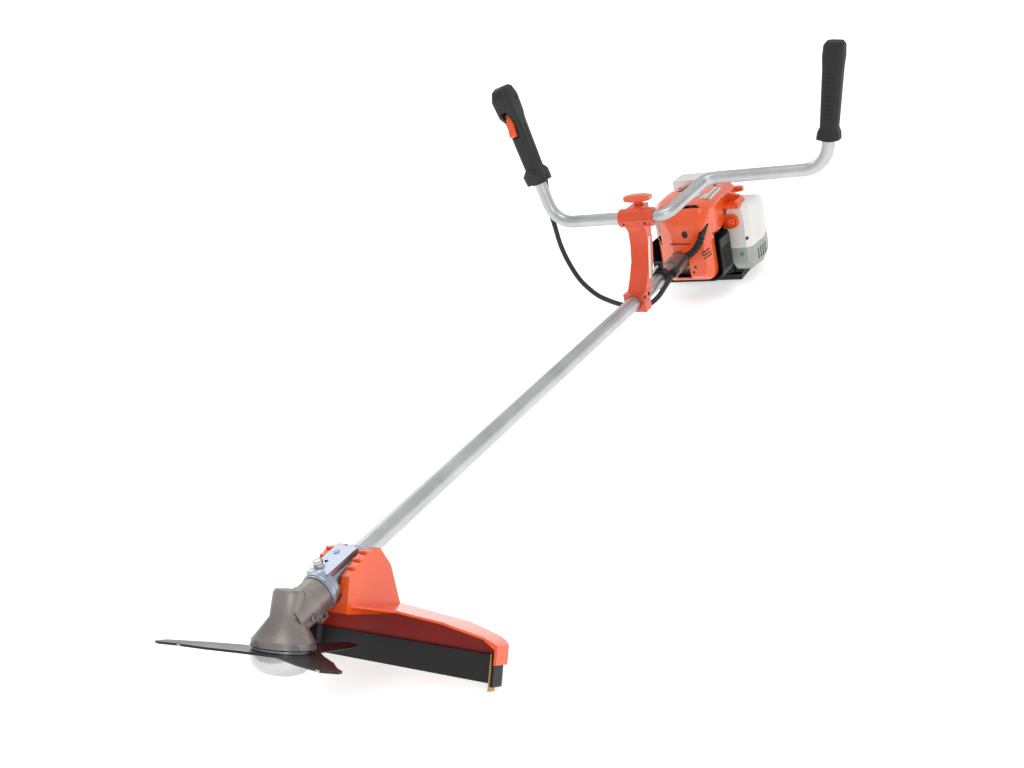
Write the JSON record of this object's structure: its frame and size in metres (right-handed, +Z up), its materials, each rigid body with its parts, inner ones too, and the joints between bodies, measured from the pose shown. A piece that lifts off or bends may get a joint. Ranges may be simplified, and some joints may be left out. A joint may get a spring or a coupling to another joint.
{
  "type": "brush cutter",
  "caption": "Two-handed petrol brush cutter: angled gear head with blade and guard, straight shaft, wide two-grip bar on a column, and a shrouded engine on a tank.",
  "frame": {"origin": "middle of the engine base plate's flat underside", "axes": "+X from the cutting head to the engine, +Y the operator's right, +Z up"},
  "size_m": [1.6886, 0.6433, 0.5399],
  "materials": {
    "orange_plastic": "moulded, glossy",
    "orange_cast": "cast and painted, glossy",
    "red_plastic": "moulded, glossy",
    "white_plastic": "moulded, satin",
    "grey_plastic": "moulded, fine grain",
    "black_plastic": "moulded, fine grain",
    "black_rubber": "moulded rubber, matt",
    "rope": "braided cord",
    "filter_felt": "felt",
    "cast_alloy": "sand-cast, warm grey",
    "bright_alloy": "drawn and clear anodised",
    "sleeve_alloy": "turned and anodised, bluish",
    "steel": "machined",
    "blade_steel": "hardened, dark",
    "cutter_steel": "zinc plated, yellowed"
  },
  "bodies": {
    "frame": {"gearhead_housing": "cast_alloy", "output_bearing": "steel", "guard_shield": "orange_plastic", "guard_skirt": "black_plastic", "line_cutter": "cutter_steel", "pinion_bearing": "steel", "guard_bracket": "sleeve_alloy", "drive_tube": "bright_alloy", "shaft_bushing": "black_rubber", "handle_support": "orange_cast", "handle_clamp_cap": "orange_cast", "support_foot_cap": "orange_cast", "harness_clamp": "black_plastic", "throttle_cable": "black_rubber", "clutch_housing": "cast_alloy", "crank_bearing_front": "steel", "crank_bearing_rear": "steel", "crankcase": "cast_alloy", "cylinder": "bright_alloy", "spark_plug": "steel", "carburettor": "cast_alloy", "air_filter": "filter_felt", "engine_shroud": "orange_plastic", "fan_housing": "black_plastic", "filter_cover_upper": "white_plastic", "filter_cover_lower": "grey_plastic", "starter_housing": "black_plastic", "starter_rope": "rope", "muffler": "steel", "muffler_guard": "white_plastic", "fuel_tank": "black_plastic", "base_plate": "black_plastic"},
    "blade": {"cutting_blade": "blade_steel", "thrust_plate": "steel", "rider_cup": "bright_alloy", "blade_nut": "steel", "output_shaft": "steel", "bevel_gear": "steel"},
    "drive": {"drive_shaft": "steel", "drive_pinion": "steel", "clutch_drum": "steel"},
    "crank": {"crankshaft_front": "steel", "crankshaft_rear": "steel", "flywheel": "bright_alloy", "clutch_shoes": "steel"},
    "piston_group": {"piston": "bright_alloy", "connecting_rod": "steel", "crankpin": "steel"},
    "handlebar": {"handlebar_tube": "bright_alloy", "left_grip": "black_rubber", "throttle_grip": "black_plastic"},
    "trigger": {"throttle_trigger": "orange_plastic"},
    "lockout": {"throttle_lockout": "black_plastic"},
    "stop": {"stop_button": "red_plastic"},
    "clamp_screw": {"wing_screw": "orange_plastic"},
    "cover_latch": {"cover_knob": "orange_plastic"},
    "tank_cap": {"fuel_cap": "black_plastic"},
    "pulley": {"starter_pulley": "black_plastic"},
    "pull_grip": {"starter_grip": "orange_plastic"},
    "hook_ring": {"harness_ring": "steel"}
  },
  "joints": [
    {"name": "blade_spin", "type": "hinge", "parent": "frame", "child": "blade", "pos_m": [-1.52761, -0.008, 0.12316], "axis": [0.58, 0, 0.8146], "continuous": true},
    {"name": "drive_spin", "type": "hinge", "parent": "frame", "child": "drive", "pos_m": [-1.40738, -0.008, 0.14785], "axis": [0.9993, 0, -0.0382], "continuous": true},
    {"name": "crank_spin", "type": "hinge", "parent": "frame", "child": "crank", "pos_m": [-0.09334, -0.008, 0.09764], "axis": [0.9993, 0, -0.0382], "continuous": true},
    {"name": "piston_stroke", "type": "slide", "parent": "frame", "child": "piston_group", "axis": [0.0382, 0, 0.9993], "range_m": [-0.03, 0]},
    {"name": "handlebar_tilt", "type": "hinge", "parent": "frame", "child": "handlebar", "pos_m": [-0.38315, -0.008, 0.25742], "axis": [0, 1, 0], "range_deg": [-70, 40], "deforming": ["throttle_cable"]},
    {"name": "trigger_pull", "type": "hinge", "parent": "handlebar", "child": "trigger", "pos_m": [-0.39246, 0.21505, 0.48512], "axis": [-0.0077, 0.9792, -0.2026], "range_deg": [-10, 0], "stiffness_Nm_per_rad": 0.5, "springref_deg": 5.73},
    {"name": "lockout_press", "type": "hinge", "parent": "handlebar", "child": "lockout", "pos_m": [-0.35737, 0.21566, 0.48672], "axis": [-0.0077, 0.9792, -0.2026], "range_deg": [0, 6], "stiffness_Nm_per_rad": 0.5, "springref_deg": -5.73},
    {"name": "stop_press", "type": "slide", "parent": "handlebar", "child": "stop", "axis": [-0.9993, 0, 0.0382], "range_m": [0, 0.003], "stiffness_N_per_m": 400, "springref_m": -0.001},
    {"name": "clamp_screw_turn", "type": "hinge", "parent": "frame", "child": "clamp_screw", "pos_m": [-0.36117, -0.008, 0.25658], "axis": [0.0382, 0, 0.9993], "continuous": true},
    {"name": "cover_knob_turn", "type": "hinge", "parent": "frame", "child": "cover_latch", "pos_m": [-0.10957, -0.091, 0.14429], "axis": [0.9993, 0, -0.0382], "range_deg": [0, 90]},
    {"name": "fuel_cap_turn", "type": "hinge", "parent": "frame", "child": "tank_cap", "pos_m": [0.03389, 0.088, 0.02272], "axis": [0, 1, 0], "continuous": true},
    {"name": "starter_pull", "type": "slide", "parent": "frame", "child": "pull_grip", "axis": [0.0382, 0, 0.9993], "range_m": [0, 0.8], "stiffness_N_per_m": 12, "springref_m": -0.4, "deforming": ["starter_rope"]},
    {"name": "starter_pulley_spin", "type": "hinge", "parent": "frame", "child": "pulley", "pos_m": [-0.0114, -0.008, 0.0945], "axis": [0.9993, 0, -0.0382], "range_deg": [-1240, 0]},
    {"name": "ring_swing", "type": "hinge", "parent": "frame", "child": "hook_ring", "pos_m": [-0.3221, -0.008, 0.1344], "axis": [0.9993, 0, -0.0382], "range_deg": [0, 170]}
  ],
  "couplings": [
    {"joint": "drive_spin", "follows": "blade_spin", "ratio": -1.3571},
    {"joint": "starter_pulley_spin", "follows": "starter_pull", "rad_per_m": -27.027}
  ]
}
